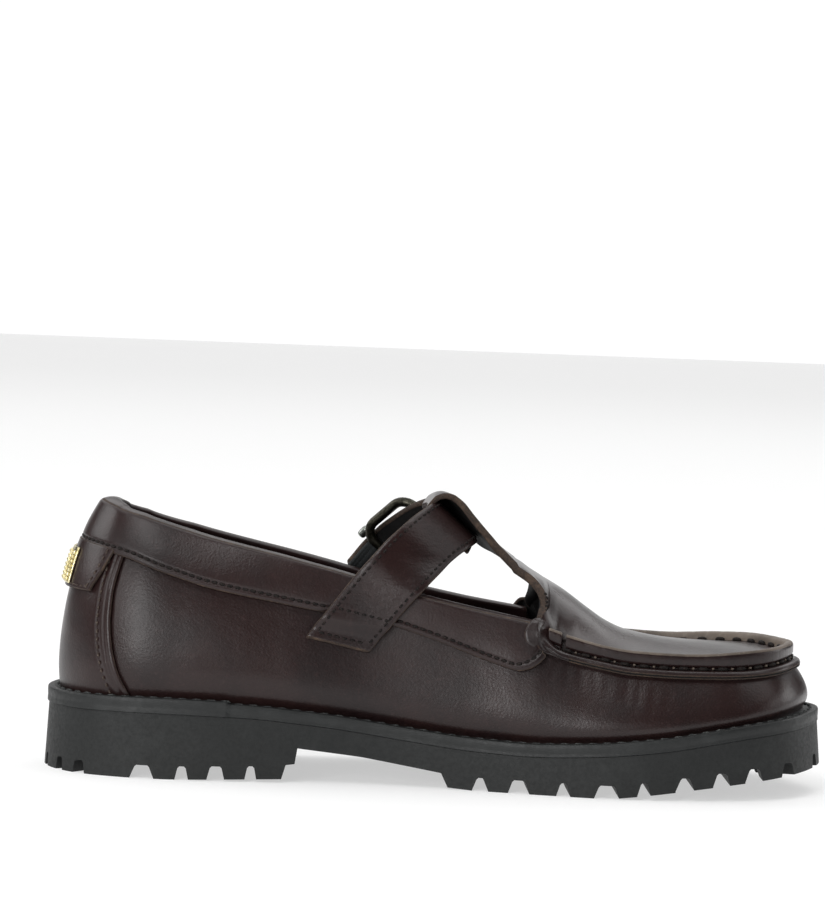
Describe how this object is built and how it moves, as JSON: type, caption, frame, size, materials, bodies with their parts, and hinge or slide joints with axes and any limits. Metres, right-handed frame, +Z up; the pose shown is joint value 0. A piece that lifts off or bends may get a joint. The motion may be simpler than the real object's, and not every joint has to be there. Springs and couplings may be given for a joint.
{
  "type": "loafer",
  "caption": "Left T-bar loafer: moccasin front, folded collar, buckled instep strap, stitched rim and lugged rubber sole, standing empty.",
  "frame": {"origin": "on the ground, under the middle of the shoe's bounding box", "axes": "+X along the shoe from heel to toe, +Y towards its lateral side (the buckle side), -Y towards its medial side, +Z up"},
  "size_m": [0.2695, 0.1013, 0.1002],
  "materials": {
    "outsole_rubber": "moulded black rubber, matt, fine grit",
    "welt_rubber": "moulded black rubber rim, stitched, slightly smoother",
    "insole_leather": "dark brown lining leather, matt",
    "upper_leather": "dark burgundy-brown box leather, satin polish",
    "collar_leather": "dark burgundy-brown leather, folded and lightly padded",
    "counter_leather": "dark burgundy-brown leather, satin polish",
    "tab_leather": "dark burgundy-brown leather, satin",
    "badge_brass": "pale gold plating, plain beaded bar",
    "strap_leather": "dark burgundy-brown leather, satin, creased",
    "strap_elastic": "black ribbed elastic",
    "frame_nickel": "dark antique nickel plating",
    "prong_nickel": "grey nickel plating, brighter on its wear line"
  },
  "bodies": {
    "root": {"outsole": "outsole_rubber", "welt": "welt_rubber", "insole": "insole_leather", "upper": "upper_leather", "collar_band": "collar_leather", "heel_counter": "counter_leather", "heel_tab": "tab_leather", "heel_badge": "badge_brass", "strap": "strap_leather", "buckle_strap": "strap_elastic", "buckle_frame": "frame_nickel", "buckle_prong": "prong_nickel"}
  },
  "joints": []
}
